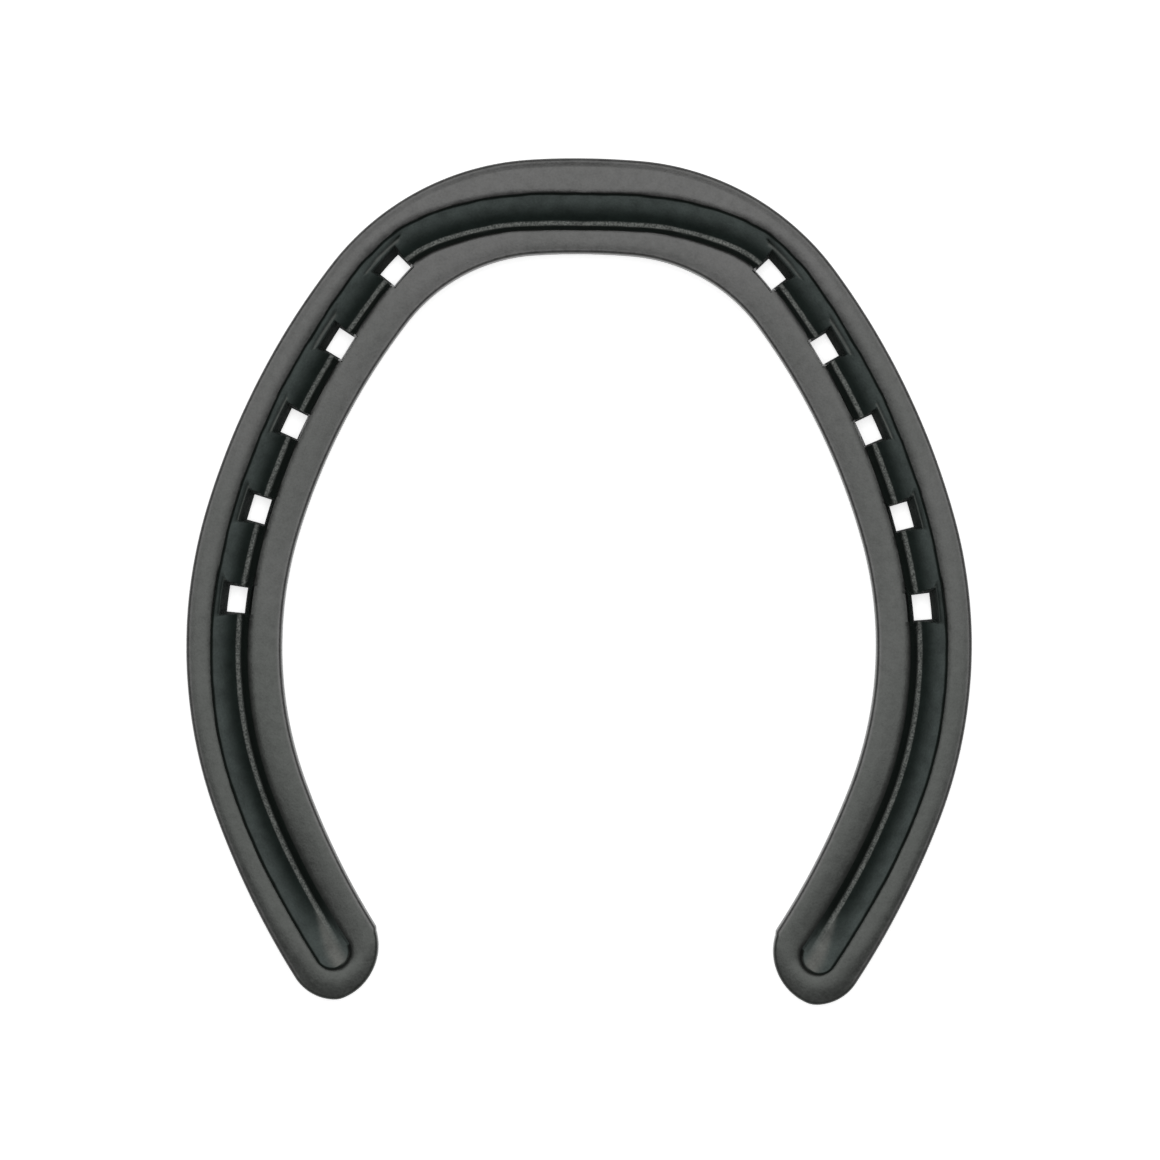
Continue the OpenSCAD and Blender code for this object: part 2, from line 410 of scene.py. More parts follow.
            # a level shelf where the tool's shoulder met the slope
            foot = self.hole_w / 2 + (self.shelf - self.seat) * flare
            past_shelf = np.maximum((b - foot - shelf_w) * 2.2, 0.0)
            past_end = np.maximum(np.abs(a + 0.35) - shelf_l / 2 + (foot + shelf_w - b), 0.0) * 1.6
            shelf = np.where(b > foot - 0.4, self.shelf + past_shelf + past_end, 99.0)
            best = np.minimum(best, np.minimum(wall, shelf))
        return best

    def settle(self, s, t, mid, half):
        """Moves grid points near each nail hole so that the grid's own lines
        form its four edges. mid and half are the hole's place in the grid."""
        for s0, t0, turn in self.holes:
            a = s - s0
            b = (t - mid) / half * (self.hole_w / 2)
            c, n = math.cos(turn), math.sin(turn)
            far = np.hypot(np.maximum(np.abs(a) - self.hole_l / 2, 0),
                           np.maximum(np.abs(b) - self.hole_w / 2, 0))
            w = 1.0 - smoothstep(0.5, 2.4, far)
            s, t = (s + w * (s0 + a * c + b * n - s), t + w * (t0 - a * n + b * c - t))
        return s, t

    def stations(self):
        """Distances along the bar of the grid's cross lines."""
        near = np.array([0.0, 0.45, 0.9, 1.35, 1.8]) * self.hole_l / 4.3
        wall = self.hole_l / 2 + np.array(
            [0, 0.07, 0.17, 0.3, 0.44, 0.6, 0.78, 0.98, 1.2, 1.45, 1.8, 2.3, 3.0])
        offsets = np.concatenate((near, wall))
        found = [0.0, self.length]
        for s0, _, _ in self.holes:
            found += list(s0 + offsets) + list(s0 - offsets[1:])
        clear = offsets[-1] + 0.5
        for s in np.arange(1.1, self.length - 0.5, 1.1):
            if all(abs(s - h[0]) > clear for h in self.holes):
                found.append(float(s))
        return np.array(sorted(found))


# Columns of half a section, from the crease's middle outwards, down the side
# and back under: how many steps each zone has.
SLOPE_STEPS, WALL_STEPS, RIM_STEPS, FACET_STEPS = 20, 4, 13, 5
EDGE_STEPS, SIDE_STEPS, FOOT_STEPS = 6, 3, 4
BASE_STEPS, BASE_HOLE_STEPS = 4, 4
TOP_COLUMNS = SLOPE_STEPS + WALL_STEPS + RIM_STEPS + FACET_STEPS


def half_section(bar, foot, lip, reach, heights):
    """Distances outwards and heights of half a section. foot and lip are the
    bottom and top of the crease wall, reach is the edge of the bar, and
    heights gives the top surface at a distance."""
    edge = reach - bar.edge_w
    facet = reach - FACET_WIDTH - 0.06
    a = np.concatenate((
        foot * np.arange(SLOPE_STEPS) / SLOPE_STEPS,
        foot + (lip - foot) * np.arange(WALL_STEPS) / WALL_STEPS,
        lip + (facet - lip) * (np.arange(RIM_STEPS) / RIM_STEPS) ** 1.4,
        facet + (edge - facet) * (np.arange(FACET_STEPS) / FACET_STEPS) ** 1.5,
    ))
    z = heights(a)
    z_edge = float(heights(np.array([edge]))[0])
    q = np.radians(90.0) * np.arange(EDGE_STEPS) / EDGE_STEPS
    a_edge = edge + bar.edge_w * np.sin(q)
    edge_z = z_edge - bar.edge_d * (1 - np.cos(q))
    side = np.linspace(z_edge - bar.edge_d, bar.foot, SIDE_STEPS + 1)[:-1]
    q = np.radians(90.0) * np.arange(FOOT_STEPS) / FOOT_STEPS
    a_foot = reach - bar.foot * (1 - np.cos(q))
    z_foot = bar.foot * (1 - np.sin(q))
    outer = np.linspace(reach - bar.foot, lip, BASE_STEPS + 1)[:-1]
    inner = np.linspace(lip, 0.0, BASE_HOLE_STEPS + 1)
    return (np.concatenate((a, a_edge, np.full(SIDE_STEPS, reach), a_foot, outer, inner)),
            np.concatenate((z, edge_z, side, z_foot, np.zeros(len(outer) + len(inner)))))


def heel_reach(bar, turn):
    """Distance from the axis of the crease's round end to the heel's edge."""
    dx, dy = math.sin(turn), math.cos(turn)
    axis = CENTRE + float(bar.line(np.array(bar.length)))
    found = []
    for cx, cy, r in ((0.0, 0.0, bar.half), (TRIM_AHEAD, TRIM_OUT, TRIM_RADIUS)):
        px, py = -cx, axis - cy
        b = px * dx + py * dy
        found.append(-b + math.sqrt(b * b - (px * px + py * py - r * r)))
    far, near = max(found), min(found)
    return near - 0.5 * max(0.0, 0.25 - (far - near)) ** 2


def straight_bar(sizes, length):
    """The whole bar, straightened: vertices (s, t, z) in metres, faces, the
    upper and lower rim of each nail hole, and the Bar that shaped it."""
    bar = Bar(sizes, length)
    rows = bar.stations()
    n = TOP_COLUMNS + EDGE_STEPS + SIDE_STEPS + FOOT_STEPS + BASE_STEPS + BASE_HOLE_STEPS
    verts, grid = [], []

    for s in rows:
        line = float(bar.line(np.array(s)))
        mid = CENTRE + line
        ring = []
        for side in (1, -1):
            foot = (LIP_FOOT - CENTRE) if side > 0 else (CENTRE - bar.floor_edge(np.array(s)))
            lip = (LIP_TOP - CENTRE) if side > 0 else (CENTRE - WALL_TOP)
            reach = bar.half - side * mid
            a, z = half_section(bar, foot, lip, reach,
                                lambda a: bar.top_height(np.full_like(a, s), mid + side * a))
            ss, tt = bar.settle(np.full_like(a, s), mid + side * a,
                                mid - (CENTRE - WALL_TOP) / 2, (CENTRE - WALL_TOP) / 2)
            top = slice(0, TOP_COLUMNS)
            z[top] = soft_min(bar.top_height(ss[top], tt[top]),
                              bar.seat_height(ss[top], tt[top]), 0.12)
            ring.append(np.stack((ss, tt, z), axis=1))
        outer, inner = ring
        ids = [len(verts) + k for k in range(n + 1)]
        verts += list(outer)
        ids_in = [ids[0]] + [len(verts) + k for k in range(n - 1)] + [ids[n]]
        verts += list(inner[1:n])
        grid.append((ids, ids_in))

    faces = []

    def strip(left, right):
        for k in range(n):
            quad = (left[k], left[k + 1], right[k + 1], right[k])
            faces.append(tuple(dict.fromkeys(quad)))

    hole_top = range(0, SLOPE_STEPS + WALL_STEPS)
    hole_base = range(n - BASE_HOLE_STEPS, n)
    open_cells = set(hole_top) | set(hole_base)
    walls = []
    for r in range(len(rows) - 1):
        (o0, i0), (o1, i1) = grid[r], grid[r + 1]
        strip(o0, o1)
        mid_s = (rows[r] + rows[r + 1]) / 2
        inside = [h for h in bar.holes if abs(mid_s - h[0]) < bar.hole_l / 2]
        for k in range(n):
            if inside and k in open_cells:
                continue
            faces.append((i0[k], i1[k], i1[k + 1], i0[k + 1]))

    # the four walls of each hole, from the seat down to the hoof side
    for s0, _, _ in bar.holes:
        picked = [r for r, s in enumerate(rows) if abs(s - s0) < bar.hole_l / 2 + 1e-6]
        low, high = picked[0], picked[-1]
        top_loop = ([grid[r][1][0] for r in picked]
                    + [grid[high][1][k] for k in range(1, SLOPE_STEPS + WALL_STEPS + 1)]
                    + [grid[r][1][SLOPE_STEPS + WALL_STEPS] for r in picked[-2::-1]]
                    + [grid[low][1][k] for k in range(SLOPE_STEPS + WALL_STEPS - 1, 0, -1)])
        base_loop = ([grid[r][1][n] for r in picked]
                     + [grid[high][1][k] for k in range(n - 1, n - BASE_HOLE_STEPS - 1, -1)]
                     + [grid[r][1][n - BASE_HOLE_STEPS] for r in picked[-2::-1]]
                     + [grid[low][1][k] for k in range(n - BASE_HOLE_STEPS + 1, n)])
        walls.append((top_loop, base_loop))

    # the heel: half sections fanned round the end of the crease, turning from
    # the outer half's shape into the inner half's
    mid = CENTRE + float(bar.line(np.array(bar.length)))
    foot_in = CENTRE - float(bar.floor_edge(np.array(bar.length)))
    o_end, i_end = grid[-1]
    z_out = np.array([verts[k][2] for k in o_end])
    z_in = np.array([verts[k][2] for k in i_end])
    last = o_end
    for j in range(1, HEEL_RAYS):
        turn = math.pi * j / HEEL_RAYS
        blend = float(smoothstep(0.0, 1.0, j / HEEL_RAYS))
        foot = (LIP_FOOT - CENTRE) * (1.0 - blend) + foot_in * blend
        lip = (LIP_TOP - CENTRE) * (1.0 - blend) + (CENTRE - WALL_TOP) * blend
        squash = 1.0 - END_SQUASH * math.sin(turn)
        foot, lip = foot * squash, lip * squash
        reach = heel_reach(bar, turn)
        a, _ = half_section(bar, foot, lip, reach, lambda a: a)
        z = z_out * (1.0 - blend) + z_in * blend
        bevel = soft_max(BEVEL_WIDTH - reach + a, np.zeros_like(a), BEVEL_ROUNDING)
        bevel *= HEEL_BEVEL * blend * float(smoothstep(0.94, 0.6, j / HEEL_RAYS))
        z = z - bevel * np.clip(z / bar.top, 0.0, 1.0)
        ids = [o_end[0]] + [len(verts) + k for k in range(n - 1)] + [o_end[n]]
        ring = np.stack((bar.length + a * math.sin(turn), mid + a * math.cos(turn), z), axis=1)
        verts += list(ring[1:n])
        strip(last, ids)
        last = ids
    strip(last, i_end)

    v = np.array(verts)
    count = len(v)
    on_toe = np.abs(v[:, 0]) < 1e-9
    twin = np.where(on_toe, np.arange(count), 0)
    twin[~on_toe] = count + np.arange(int((~on_toe).sum()))
    mirrored = v[~on_toe] * (-1.0, 1.0, 1.0)
    both = np.vstack((v, mirrored))
    all_faces = list(faces) + [tuple(int(twin[k]) for k in reversed(f)) for f in faces]
    loops = list(walls) + [([int(twin[k]) for k in a], [int(twin[k]) for k in b])
                           for a, b in walls]
    return both * MM, all_faces, loops, bar


def stitch_loops(bm, loops):
    """Closes each nail hole with straight walls between its two rims."""
    bm.verts.ensure_lookup_table()
    for top_loop, base_loop in loops:
        edges = []
        for loop in (top_loop, base_loop):
            for a, b in zip(loop, loop[1:] + loop[:1]):
                edge = bm.edges.get((bm.verts[a], bm.verts[b]))
                if edge is None:
                    raise RuntimeError("a nail hole's rim is broken")
                edges.append(edge)
        bmesh.ops.bridge_loops(bm, edges=edges)


def path_object(outline):
    """The centreline of the bar as a poly curve, right through both heels."""
    reach = outline.length + PATH_OVERRUN
    steps = int(round(2 * reach / PATH_STEP))
    data = bpy.data.curves.new("bar_centreline", "CURVE")
    data.dimensions = "3D"
    spline = data.splines.new("POLY")
    spline.points.add(steps)
    for k in range(steps + 1):
        x, y = outline.point(-reach + 2 * reach * k / steps)
        spline.points[k].co = (x * MM, y * MM, 0.0, 1.0)
    obj = bpy.data.objects.new("bar_centreline", data)
    bpy.context.scene.collection.objects.link(obj)
    return obj, reach * MM


# --------------------------------------------------------------------- nodes


def add_node(tree, kind, inputs=None, **settings):
    """A new node with its settings. inputs maps a socket's name or number to
    a plain value, or to another node's output that feeds it."""
    node = tree.nodes.new(kind)
    for key, value in settings.items():
        setattr(node, key, value)
    for key, value in (inputs or {}).items():
        if isinstance(value, bpy.types.NodeSocket):
            tree.links.new(value, node.inputs[key])
        else:
            node.inputs[key].default_value = value
    return node


def maths(tree, operation, *values, **settings):
    """The output of a Math node on plain values or other nodes' outputs."""
    return add_node(tree, "ShaderNodeMath", dict(enumerate(values)),
                    operation=operation, **settings).outputs[0]


def vectors(tree, operation, *values):
    """The output of a Vector Math node, as maths gives for numbers."""
    return add_node(tree, "ShaderNodeVectorMath", dict(enumerate(values)),
                    operation=operation).outputs[0]


def scaled(tree, vector, factor):
    """A vector or colour times a number."""
    return add_node(tree, "ShaderNodeVectorMath", {0: vector, "Scale": factor},
                    operation="SCALE").outputs[0]


def bending_tree():
    """Bends a straight bar along a path and lets its forged faces wander."""
    tree = bpy.data.node_groups.new("Bend the bar to shape", "GeometryNodeTree")
    face = tree.interface
    face.new_socket("Bar", in_out="INPUT", socket_type="NodeSocketGeometry")
    sockets = {}
    for name, kind, value in (
        ("Path", "NodeSocketObject", None),
        ("Path half length", "NodeSocketFloat", 0.17),
        ("Unevenness", "NodeSocketFloat", 0.0001),
        ("Sideways share", "NodeSocketFloat", 0.5),
        ("Uneven patches per metre", "NodeSocketFloat", 75.0),
        ("Dressing marks", "NodeSocketFloat", 0.00009),
        ("Full height", "NodeSocketFloat", 0.008),
        ("Seed", "NodeSocketInt", FORGING_SEED),
        ("Steel", "NodeSocketMaterial", None),
        ("Scale", "NodeSocketMaterial", None),
    ):
        s = face.new_socket(name, in_out="INPUT", socket_type=kind)
        if value is not None:
            s.default_value = value
        sockets[name] = s.identifier
    face.new_socket("Shoe", in_out="OUTPUT", socket_type="NodeSocketGeometry")

    given = add_node(tree, "NodeGroupInput").outputs
    place = add_node(tree, "GeometryNodeInputPosition").outputs[0]
    split = add_node(tree, "ShaderNodeSeparateXYZ", {0: place}).outputs
    path = add_node(tree, "GeometryNodeObjectInfo", {"Object": given["Path"]},
                    transform_space="RELATIVE").outputs["Geometry"]
    distance = maths(tree, "ADD", split["X"], given["Path half length"])
    sample = add_node(tree, "GeometryNodeSampleCurve",
                      {"Curves": path, "Length": distance}, mode="LENGTH").outputs
    outward = vectors(tree, "CROSS_PRODUCT", (0.0, 0.0, 1.0), sample["Tangent"])
    aside = scaled(tree, vectors(tree, "NORMALIZE", outward), split["Y"])
    onward = vectors(tree, "ADD", sample["Position"], aside)

    def raised(z):
        """0 at the flat hoof side, and 1 at the full height."""
        return maths(tree, "DIVIDE", z, given["Full height"], use_clamp=True)

    # long low marks that the dressing hammer left along the bar
    marks = add_node(tree, "ShaderNodeTexNoise", {
        "Vector": vectors(tree, "MULTIPLY", place, MARKS_PER_METRE),
        "W": given["Seed"], "Scale": 1.0, "Detail": 1.0}, noise_dimensions="4D").outputs["Fac"]
    low = maths(tree, "SUBTRACT", marks, 0.5)
    sized = maths(tree, "MULTIPLY", raised(split["Z"]), given["Dressing marks"])
    marked = maths(tree, "ADD", split["Z"], maths(tree, "MULTIPLY", low, sized))
    up = add_node(tree, "ShaderNodeCombineXYZ", {"Z": marked}).outputs[0]
    bend = add_node(tree, "GeometryNodeSetPosition", {
        "Geometry": given["Bar"], "Position": vectors(tree, "ADD", onward, up)}).outputs[0]

    # forged unevenness, none at the flat hoof side
    again = add_node(tree, "GeometryNodeInputPosition").outputs[0]
    noise = add_node(tree, "ShaderNodeTexNoise", {
        "Vector": again, "Scale": given["Uneven patches per metre"],
        "W": given["Seed"], "Detail": 2.0}, noise_dimensions="4D").outputs["Color"]
    height = add_node(tree, "ShaderNodeSeparateXYZ", {0: again}).outputs["Z"]
    amount = maths(tree, "MULTIPLY", raised(height), given["Unevenness"])
    share = given["Sideways share"]
    sideways = add_node(tree, "ShaderNodeCombineXYZ", {"X": share, "Y": share, "Z": 1.0})
    centred = vectors(tree, "SUBTRACT", noise, (0.5, 0.5, 0.5))
    stray = vectors(tree, "MULTIPLY", centred, sideways.outputs[0])
    wander = add_node(tree, "GeometryNodeSetPosition", {
        "Geometry": bend, "Offset": scaled(tree, stray, amount)}).outputs[0]

    real = add_node(tree, "GeometryNodeRealizeInstances", {0: wander}).outputs[0]
    steel = add_node(tree, "GeometryNodeSetMaterial", {
        "Geometry": real, "Material": given["Steel"]}).outputs[0]

    # the crease, the nail seats and the holes keep their black forge scale
    inside = add_node(tree, "GeometryNodeInputNamedAttribute", {"Name": "inside"},
                      data_type="FLOAT").outputs["Attribute"]
    picked = add_node(tree, "FunctionNodeCompare", {"A": inside, "B": SCALE_FROM},
                      data_type="FLOAT", operation="GREATER_THAN").outputs[0]
    scale = add_node(tree, "GeometryNodeSetMaterial", {
        "Geometry": steel, "Selection": picked, "Material": given["Scale"]}).outputs[0]
    add_node(tree, "NodeGroupOutput", {0: scale})
    return tree, sockets


# ------------------------------------------------------------------ material


def shader_group(name, ins, outs):
    """A new shader node group with the named sockets, and its two end nodes."""
    tree = bpy.data.node_groups.new(name, "ShaderNodeTree")
    for socket, kind, value in ins:
        made = tree.interface.new_socket(socket, in_out="INPUT", socket_type=kind)
        if value is not None:
            made.default_value = value
    for socket, kind in outs:
        tree.interface.new_socket(socket, in_out="OUTPUT", socket_type=kind)
    return tree, tree.nodes.new("NodeGroupInput"), tree.nodes.new("NodeGroupOutput")


def forged_grain():
    """Fine grain over slow mottling: a shade about 1, and a height for bump."""
    tree, ins, outs = shader_group(
        "Forged grain",
        (("Vector", "NodeSocketVector", None), ("Grains per metre", "NodeSocketFloat", 4200.0),
         ("Mottles per metre", "NodeSocketFloat", 260.0),
         ("Grain amount", "NodeSocketFloat", 0.12), ("Mottle amount", "NodeSocketFloat", 0.12)),
        (("Shade", "NodeSocketFloat"), ("Height", "NodeSocketFloat")))
    layers = []
    for rate, amount, detail in (("Grains per metre", "Grain amount", 2.0),
                                 ("Mottles per metre", "Mottle amount", 4.0)):
        noise = add_node(tree, "ShaderNodeTexNoise", {
            "Vector": ins.outputs["Vector"], "Scale": ins.outputs[rate], "Detail": detail})
        centred = maths(tree, "SUBTRACT", noise.outputs["Fac"], 0.5)
        layers.append(maths(tree, "MULTIPLY", centred, ins.outputs[amount]))
    both = maths(tree, "ADD", *layers)
    tree.links.new(maths(tree, "MULTIPLY_ADD", both, 2.0, 1.0), outs.inputs["Shade"])
    tree.links.new(both, outs.inputs["Height"])
    return tree


def finish_base(name, grain, values, strength, depth):
    """A material with the grain group on object coordinates: the material, its
    tree, surface, grain outputs and coordinates. strength and depth are the
    grain's bump."""
    mat = bpy.data.materials.new(name)
    mat.use_nodes = True
    tree = mat.node_tree
    tree.nodes.clear()
    out = add_node(tree, "ShaderNodeOutputMaterial")
    skin = add_node(tree, "ShaderNodeBsdfPrincipled")
    tree.links.new(skin.outputs[0], out.inputs["Surface"])
    place = add_node(tree, "ShaderNodeTexCoord").outputs["Object"]
    grained = add_node(tree, "ShaderNodeGroup", {"Vector": place, **values},
                       node_tree=grain).outputs
    bump = add_node(tree, "ShaderNodeBump", {
        "Height": grained["Height"], "Strength": strength, "Distance": depth})
    tree.links.new(bump.outputs[0], skin.inputs["Normal"])
    return mat, tree, skin, grained, place


def mask(tree, name):
    """The value of one of the bar's vertex masks."""
    return add_node(tree, "ShaderNodeAttribute", attribute_type="GEOMETRY",
                    attribute_name=name).outputs["Fac"]


def blend(tree, base, colour, factor):
    """Mixes two colours, each a plain colour or another node's output."""
    base, colour = (c if isinstance(c, bpy.types.NodeSocket) else (*c, 1.0)
                    for c in (base, colour))
    return add_node(tree, "ShaderNodeMix", {6: base, 7: colour, 0: factor},
                    data_type="RGBA").outputs[2]


def fit_range(tree, value, from_low, from_high, to_low, to_high):
    """Maps a value from one range to another, held at both ends."""
    return add_node(tree, "ShaderNodeMapRange", dict(enumerate(
        (value, from_low, from_high, to_low, to_high)))).outputs[0]


def satin_steel(finish, grain):
    """Dark steel with the satin face that the forging dies leave, painted darker as shade towards
    the heels, away from the light at the toe.
    """
    mat, tree, skin, grained, place = finish_base("satin_steel", grain, {
        "Grains per metre": 2400.0, "Mottles per metre": 620.0,
        "Grain amount": 0.28, "Mottle amount": 0.32}, strength=0.35, depth=0.0002)
    skin.inputs["Metallic"].default_value = 1.0
    clouds = add_node(tree, "ShaderNodeTexNoise", {
        "Vector": place, "Scale": 55.0, "Detail": 3.0}).outputs["Fac"]
    # Random clouds of tone, plus painted shade that darkens the steel from the toe towards the
    # heels.
    ahead = add_node(tree, "ShaderNodeSeparateXYZ", {0: place}).outputs["Y"]
    toward_toe = fit_range(tree, ahead, -0.035, 0.072, -0.1, 1.1)
    clouds_and_heel_shade = maths(tree, "ADD", clouds, fit_range(tree, toward_toe, 0.0, 1.0, -0.5, 0.5))
    colour = blend(tree, finish.heel_shaded_color, finish.steel_color, clouds_and_heel_shade)
    # The steel is painted a fifth lighter along the upper edges of the bar.
    edge_lighter_color = [min(1.0, c * 1.2) for c in finish.steel_color]
    colour = blend(tree, colour, edge_lighter_color, mask(tree, "edge"))
    tree.links.new(scaled(tree, colour, grained["Shade"]), skin.inputs["Base Color"])
    rough = fit_range(tree, grained["Height"], -0.16, 0.16,
                      finish.roughness - 0.06, finish.roughness + 0.06)
    tree.links.new(rough, skin.inputs["Roughness"])
    return mat


def forge_scale(finish, grain):
    """Black forge scale inside the crease, with painted shade deeper down and on the steep walls,
    and bare grains along its floor painted light, partly as highlight.
    """
    mat, tree, skin, grained, place = finish_base("forge_scale", grain, {
        "Grains per metre": 2600.0, "Mottles per metre": 420.0,
        "Grain amount": 0.3, "Mottle amount": 0.45}, strength=0.5, depth=0.0003)
    skin.inputs["Metallic"].default_value = 0.0
    skin.inputs["Specular IOR Level"].default_value = 0.12
    # Painted shade: the scale darkens from the lip towards the floor, by the depth mask.
    colour = blend(tree, finish.scale_high, finish.scale_low_shaded, mask(tree, "depth"))
    # Paler scale on the run-out ramp at the crease's end and on the level shelves of the nail
    # seats.
    colour = blend(tree, colour, finish.pale_scale_color, mask(tree, "pale_scale"))
    # Painted shade: near-black on the steep walls and in the nail seats.
    colour = blend(tree, colour, finish.wall_shade_color, mask(tree, "tool_wall_shade"))
    # Along the crease's floor, speckled grains are painted light: partly bare steel, partly
    # painted highlight where the floor faces up.
    specks = add_node(tree, "ShaderNodeTexNoise", {
        "Vector": place, "Scale": 3400.0, "Detail": 3.0}).outputs["Fac"]
    bare = fit_range(tree, specks, 0.36, 0.64, 0.3, 1.0)
    share = maths(tree, "MULTIPLY", bare, mask(tree, "floor_line_highlight"))
    colour = blend(tree, colour, finish.floor_grain_and_highlight, share)
    tree.links.new(scaled(tree, colour, grained["Shade"]), skin.inputs["Base Color"])
    rough = fit_range(tree, grained["Height"], -0.2, 0.2, 0.62, 0.9)
    tree.links.new(rough, skin.inputs["Roughness"])
    return mat


def mark_faces(mesh, bar, hole_rims):
    """Vertex masks for the finish, from each vertex's place in the bar. Some of them place painted
    shade in the crease and the seats.
    """
    co = np.empty(len(mesh.vertices) * 3)
    mesh.vertices.foreach_get("co", co)
    s, t, z = (co.reshape(-1, 3) / MM).T
    s = np.abs(s)
    line = bar.line(np.minimum(s, bar.length))
    u = t - line
    past = s > bar.length + 1e-6
    beyond = np.maximum(s - bar.length, 0.0)
    r = np.hypot(beyond, u - CENTRE)
    r = r / (1.0 - END_SQUASH * beyond / np.maximum(r, 1e-6))
    across = np.where(u > CENTRE, smoothstep(LIP_TOP, LIP_TOP - 0.1, u),
                      smoothstep(WALL_TOP - 0.25, WALL_TOP + 0.1, u))
    round_end = smoothstep(2.98, 2.85, r)
    inside = np.where(past, round_end, across) * smoothstep(0.2, 0.5, bar.top - z)
    inside[z < bar.seat / 2] = 0.0
    # depth: how far below the crease's mouth a vertex lies, which darkens the scale there as
    # painted shade.
    depth = smoothstep(0.1, 0.85, (bar.mouth - z) / (bar.mouth - bar.floor))
    held = np.minimum(s, bar.length)
    climb = smoothstep(bar.length - 10.0, bar.length + 1.5, s)
    floor_in = bar.floor_start(held)
    from_middle = np.abs(u - floor_in - FLOOR_WIDTH / 2)
    band = smoothstep(FLOOR_WIDTH / 2 + 0.2, FLOOR_WIDTH / 2, from_middle)
    beak_side = (u - floor_in - 0.3 - 1.3 * climb) / (0.3 + 1.6 * climb)
    beak = climb ** 0.5 * smoothstep(1.15, 0.1, np.abs(beak_side))
    # Bands of near-black painted shade: the inner wall, the steep wall under the lip and the mouth
    # of the round end.
    wall_band = smoothstep(-0.02, -0.2, u - floor_in)
    lip_band = smoothstep(3.42, 3.56, u - bar.waver(held, 1)) * smoothstep(4.1, 3.95, u)
    mouth_band = smoothstep(2.5, 2.62, r)
    wall = np.where(past, mouth_band, np.maximum(lip_band, wall_band * (1.0 - 0.85 * climb)))
    sunk = np.where(past, 0.0, bar.top_height(held, t) - z)
    # Painted shade in the nail seats, full at the seats of the first two holes and half at the
    # others.
    first_holes = smoothstep(bar.holes[2][0] - 3.0, bar.holes[2][0] - 5.0, s)
    seat = smoothstep(0.4, 0.7, sunk) * (0.5 + 0.5 * first_holes)
    shelf = (smoothstep(0.12, 0.3, sunk) * smoothstep(0.8, 0.55, sunk)
             * smoothstep(0.2, 0.05, np.abs(z - bar.shelf)))
    clear = 1.0 - smoothstep(0.1, 0.4, sunk)
    # The band of the crease's floor that is painted light as highlight, clear of the nail seats
    # and the run-out.
    floor_line_highlight = band * (1.0 - climb) * clear
    # edge: the upper edges of the bar, where the steel is painted lighter.
    edge_gap = bar.half - np.abs(t)
    edge = np.where(past, 0.0, smoothstep(0.9, 0.5, edge_gap)) * smoothstep(2.2, 0.3, bar.top - z)
    rims = [k for loop in hole_rims for k in loop[1]]
    inside[rims] = 1.0
    masks = {"inside": inside, "depth": depth, "floor_line_highlight": floor_line_highlight,
             "pale_scale": np.maximum(beak * 0.9, shelf * 0.45), "tool_wall_shade": np.maximum(wall, seat),
             "edge": edge}
    for name, values in masks.items():
        layer = mesh.attributes.new(name, "FLOAT", "POINT")
        layer.data.foreach_set("value", np.clip(values, 0, 1).astype(np.float32))


# ----------------------------------------------------------------- operators


class HORSESHOE_OT_forge_shoe(bpy.types.Operator):
    """Forge the creased bar, punch its nail holes and bend it to shape"""
    bl_idname = "horseshoe.forge_shoe"
    bl_label = "Forge the shoe"

    def execute(self, context):
        scene = context.scene
        sizes = scene.horseshoe_sizes
        outline = Outline()
        verts, faces, loops, bar = straight_bar(sizes, outline.length)
        mesh = bpy.data.meshes.new("straight_bar")
        mesh.from_pydata([tuple(v) for v in verts], [], faces)
        mark_faces(mesh, bar, loops)
        bm = bmesh.new()
        bm.from_mesh(mesh)
        stitch_loops(bm, loops)
        bmesh.ops.recalc_face_normals(bm, faces=bm.faces)
        bm.to_mesh(mesh)
        bm.free()
        straight = bpy.data.objects.new("straight_bar", mesh)
        scene.collection.objects.link(straight)

        grain = forged_grain()
        steel = satin_steel(scene.horseshoe_finish, grain)
        scale = forge_scale(scene.horseshoe_finish, grain)
        path, reach = path_object(outline)
        tree, sockets = bending_tree()
        bend = straight.modifiers.new("Bend the bar to shape", "NODES")
        bend.node_group = tree
        bend[sockets["Path"]] = path
        bend[sockets["Path half length"]] = reach
        bend[sockets["Unevenness"]] = sizes.unevenness
        bend[sockets["Full height"]] = sizes.thickness
        bend[sockets["Seed"]] = FORGING_SEED
        bend[sockets["Steel"]] = steel
        bend[sockets["Scale"]] = scale
        context.view_layer.update()
        ready = straight.evaluated_get(context.evaluated_depsgraph_get())
        shoe_mesh = bpy.data.meshes.new_from_object(ready)
        shoe_mesh.name = "forged_shoe"
        shoe = bpy.data.objects.new("forged_shoe", shoe_mesh)
        scene.collection.objects.link(shoe)
        bpy.data.objects.remove(straight)
        bpy.data.objects.remove(path)
        for polygon in shoe_mesh.polygons:
            polygon.use_smooth = True
        shoe_mesh.set_sharp_from_angle(angle=SHARP_ANGLE)

        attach(shoe, "root")
        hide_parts(NODE)
        return {"FINISHED"}


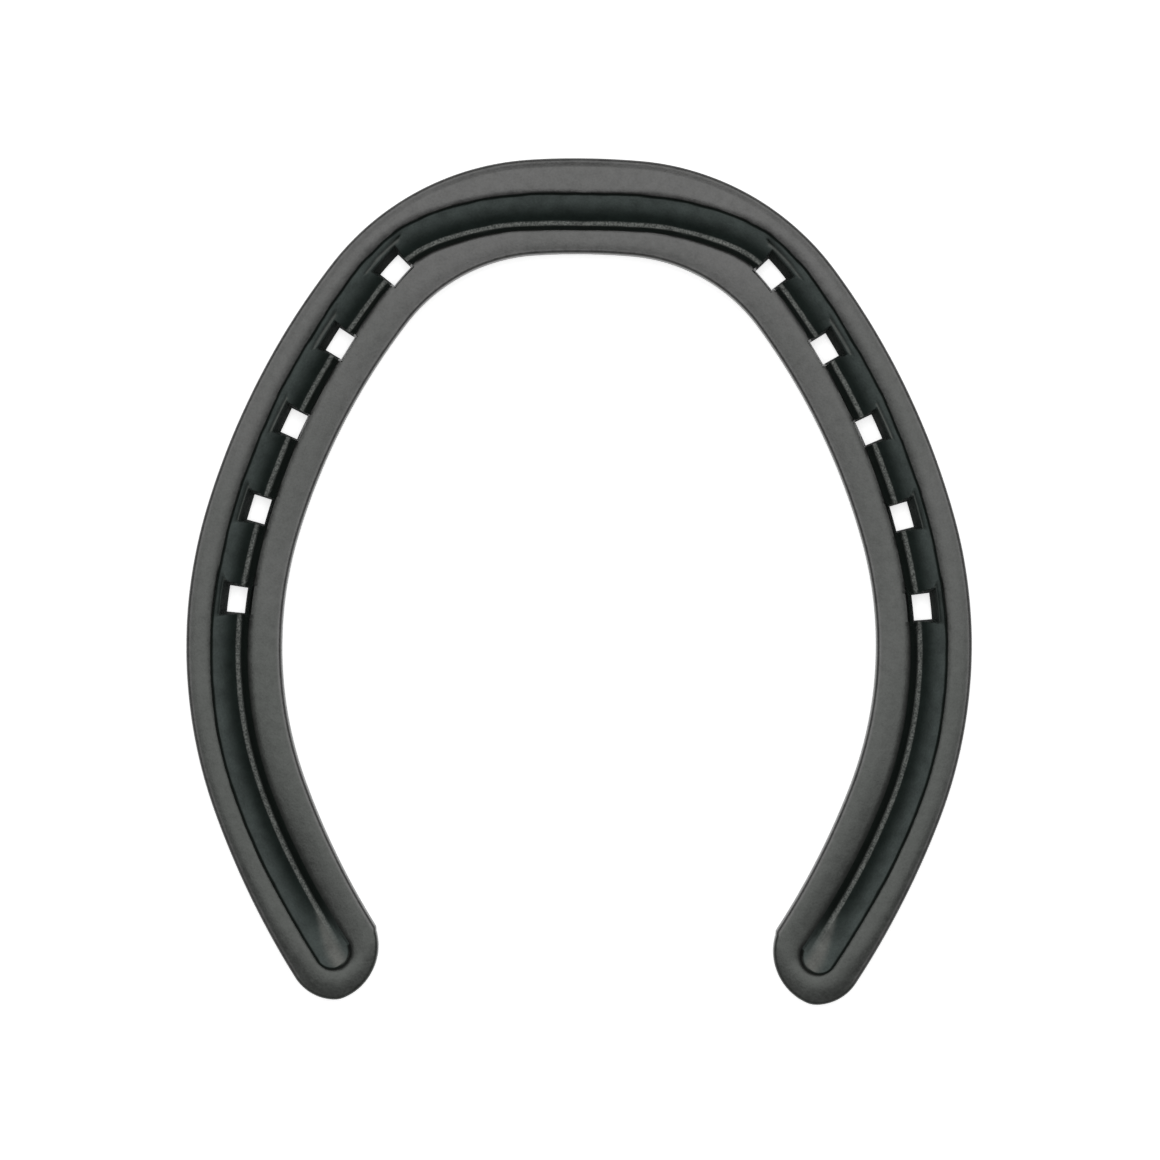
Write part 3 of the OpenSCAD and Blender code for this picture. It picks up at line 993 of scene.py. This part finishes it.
class HORSESHOE_OT_set_stage(bpy.types.Operator):
    """Lay a plain pale floor and set the soft lights and the camera"""
    bl_idname = "horseshoe.set_stage"
    bl_label = "Set the stage"

    def execute(self, context):
        scene = context.scene
        stage = scene.horseshoe_stage
        self.lay_floor(scene, stage)
        self.hang_lights(scene, stage)
        self.place_camera(scene, stage)
        return {"FINISHED"}

    def lay_floor(self, scene, stage):
        mat = bpy.data.materials.new("studio_floor")
        mat.use_nodes = True
        skin = mat.node_tree.nodes["Principled BSDF"]
        skin.inputs["Base Color"].default_value = (*stage.floor_color, 1.0)
        skin.inputs["Roughness"].default_value = 0.9
        skin.inputs["Specular IOR Level"].default_value = 0.1
        skin.inputs["Emission Color"].default_value = (*stage.floor_color, 1.0)
        skin.inputs["Emission Strength"].default_value = stage.floor_glow
        mesh = bpy.data.meshes.new("studio_floor")
        w, z = FLOOR_HALF, FLOOR_HEIGHT
        mesh.from_pydata([(-w, -w, z), (w, -w, z), (w, w, z), (-w, w, z)], [], [(0, 1, 2, 3)])
        mesh.materials.append(mat)
        floor = bpy.data.objects.new("studio_floor", mesh)
        scene.collection.objects.link(floor)

    def hang_lights(self, scene, stage):
        world = bpy.data.worlds.new("studio_room")
        world.use_nodes = True
        ground = world.node_tree.nodes["Background"]
        ground.inputs["Color"].default_value = (1.0, 1.0, 1.0, 1.0)
        ground.inputs["Strength"].default_value = stage.world_strength
        scene.world = world
        data = bpy.data.lights.new("key_light", "AREA")
        data.shape = "RECTANGLE"
        data.size, data.size_y = KEY_SIZE
        data.energy = stage.key_power
        key = bpy.data.objects.new("key_light", data)
        key.location = KEY_PLACE
        key.rotation_euler = (KEY_TILT, 0.0, 0.0)
        scene.collection.objects.link(key)

    def place_camera(self, scene, stage):
        data = bpy.data.cameras.new("studio_camera")
        data.lens = stage.lens
        data.sensor_width = SENSOR_WIDTH
        camera = bpy.data.objects.new("studio_camera", data)
        distance = stage.frame_width * stage.lens / SENSOR_WIDTH
        top = CAD_BOX[1][2]
        camera.location = (0.03 * MM, 0.04 * MM, top + distance)
        camera.rotation_euler = (0.0, 0.0, stage.camera_turn)
        scene.collection.objects.link(camera)
        bpy.context.scene.camera = camera
        scene.view_settings.view_transform = "Standard"


class HORSESHOE_PT_panel(bpy.types.Panel):
    """Sizes, finish and stage of the horseshoe"""
    bl_label = "Horseshoe"
    bl_idname = "HORSESHOE_PT_panel"
    bl_space_type = "VIEW_3D"
    bl_region_type = "UI"
    bl_category = "Horseshoe"

    def draw(self, context):
        scene = context.scene
        for group, operator in ((scene.horseshoe_sizes, None),
                                (scene.horseshoe_finish, HORSESHOE_OT_forge_shoe),
                                (scene.horseshoe_stage, HORSESHOE_OT_set_stage)):
            box = self.layout.box()
            for name in group.bl_rna.properties.keys():
                if name not in ("rna_type", "name"):
                    box.prop(group, name)
            if operator:
                box.operator(operator.bl_idname)


GROUPS = (
    ("horseshoe_sizes", HorseshoeSizes),
    ("horseshoe_finish", HorseshoeFinish),
    ("horseshoe_stage", HorseshoeStage),
)
CLASSES = tuple(c for _, c in GROUPS) + (
    HORSESHOE_OT_forge_shoe, HORSESHOE_OT_set_stage, HORSESHOE_PT_panel,
)


def register():
    for cls in CLASSES:
        bpy.utils.register_class(cls)
    for name, cls in GROUPS:
        setattr(bpy.types.Scene, name, bpy.props.PointerProperty(type=cls))


def unregister():
    for name, _ in GROUPS:
        delattr(bpy.types.Scene, name)
    for cls in reversed(CLASSES):
        bpy.utils.unregister_class(cls)


def main():
    register()
    bpy.ops.horseshoe.set_stage()
    bpy.ops.horseshoe.forge_shoe()


if __name__ == "__main__":
    main()
